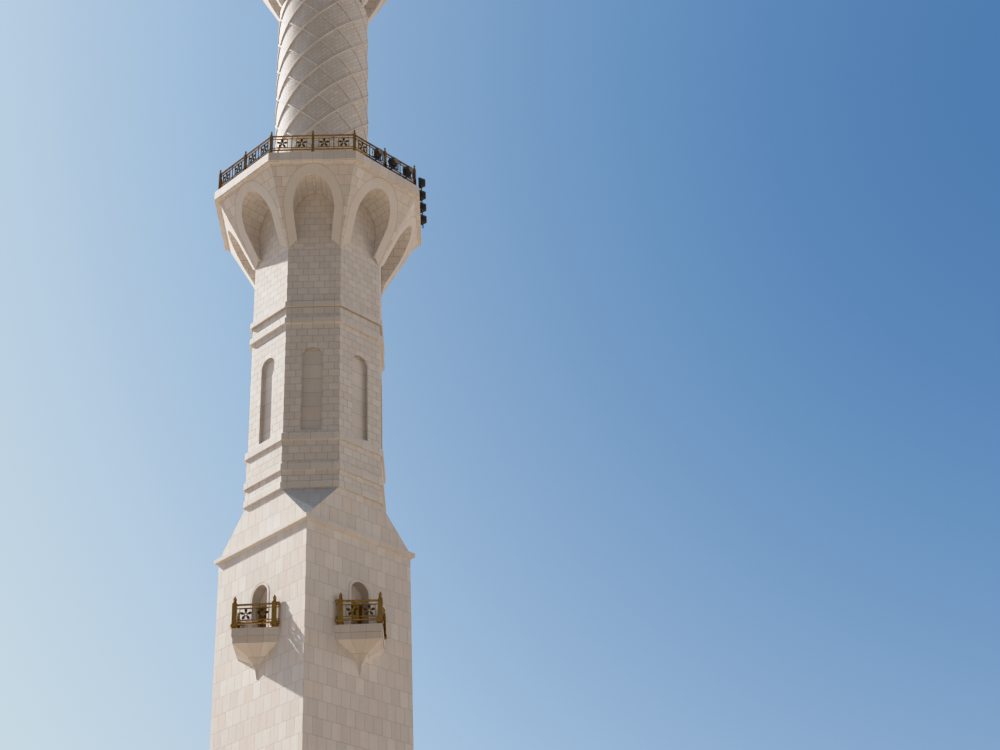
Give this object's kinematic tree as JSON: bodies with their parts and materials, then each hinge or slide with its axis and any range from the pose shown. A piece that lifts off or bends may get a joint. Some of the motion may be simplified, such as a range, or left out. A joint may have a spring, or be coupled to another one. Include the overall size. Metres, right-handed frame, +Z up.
{
  "type": "one-tenth scale model of a mosque minaret",
  "caption": "Tall white marble minaret with a square shaft and small pointed balconies, an octagonal shaft, a flared balcony, a round shaft, an upper balcony and a gilded lantern. Scale 1:10.",
  "frame": {"origin": "centre of the square shaft's foot, on the ground", "axes": "+Z up; the square shaft's faces look along +X, -X, +Y and -Y, and the picture's two faces are -X and -Y"},
  "size_m": [1.262, 1.301, 10.7],
  "materials": {
    "marble": "honed white marble slabs with fine beige joints",
    "bronze": "dark golden bronze, satin",
    "gold": "gilded, bright satin",
    "black_paint": "black coated metal"
  },
  "bodies": {
    "root": {"shaft_wall_south": "marble", "shaft_wall_north": "marble", "shaft_wall_east": "marble", "shaft_wall_west": "marble", "balcony_level_floor": "marble", "corner_pier_southwest": "marble", "corner_pier_southeast": "marble", "corner_pier_northeast": "marble", "corner_pier_northwest": "marble", "door_arch_south": "marble", "door_arch_east": "marble", "door_arch_north": "marble", "door_arch_west": "marble", "small_balcony_south": "marble", "small_balcony_east": "marble", "small_balcony_north": "marble", "small_balcony_west": "marble", "square_cornice": "marble", "broach": "marble", "octagon_base": "marble", "octagon_shaft": "marble", "octagon_upper_shaft": "marble", "main_balcony_flare": "marble", "main_balcony_slab": "marble", "round_shaft": "marble", "rib_net": "marble", "upper_balcony_flare": "marble", "upper_balcony_slab": "marble", "lantern_step": "marble", "lantern_arcade": "marble", "lantern_cornice": "marble", "door_gate_south": "bronze", "door_gate_east": "bronze", "door_gate_north": "bronze", "door_gate_west": "bronze", "small_railing_south": "bronze", "small_railing_east": "bronze", "small_railing_north": "bronze", "small_railing_west": "bronze", "main_railing_south": "bronze", "main_railing_east": "bronze", "main_railing_north": "bronze", "main_railing_west": "bronze", "upper_railing_south": "bronze", "upper_railing_east": "bronze", "upper_railing_north": "bronze", "upper_railing_west": "bronze", "dome": "gold", "finial": "gold", "floodlight_south_1": "black_paint", "floodlight_south_2": "black_paint", "floodlight_south_3": "black_paint", "floodlight_southeast_1": "black_paint", "floodlight_southeast_2": "black_paint", "floodlight_southeast_3": "black_paint", "floodlight_southeast_4": "black_paint"}
  },
  "joints": []
}
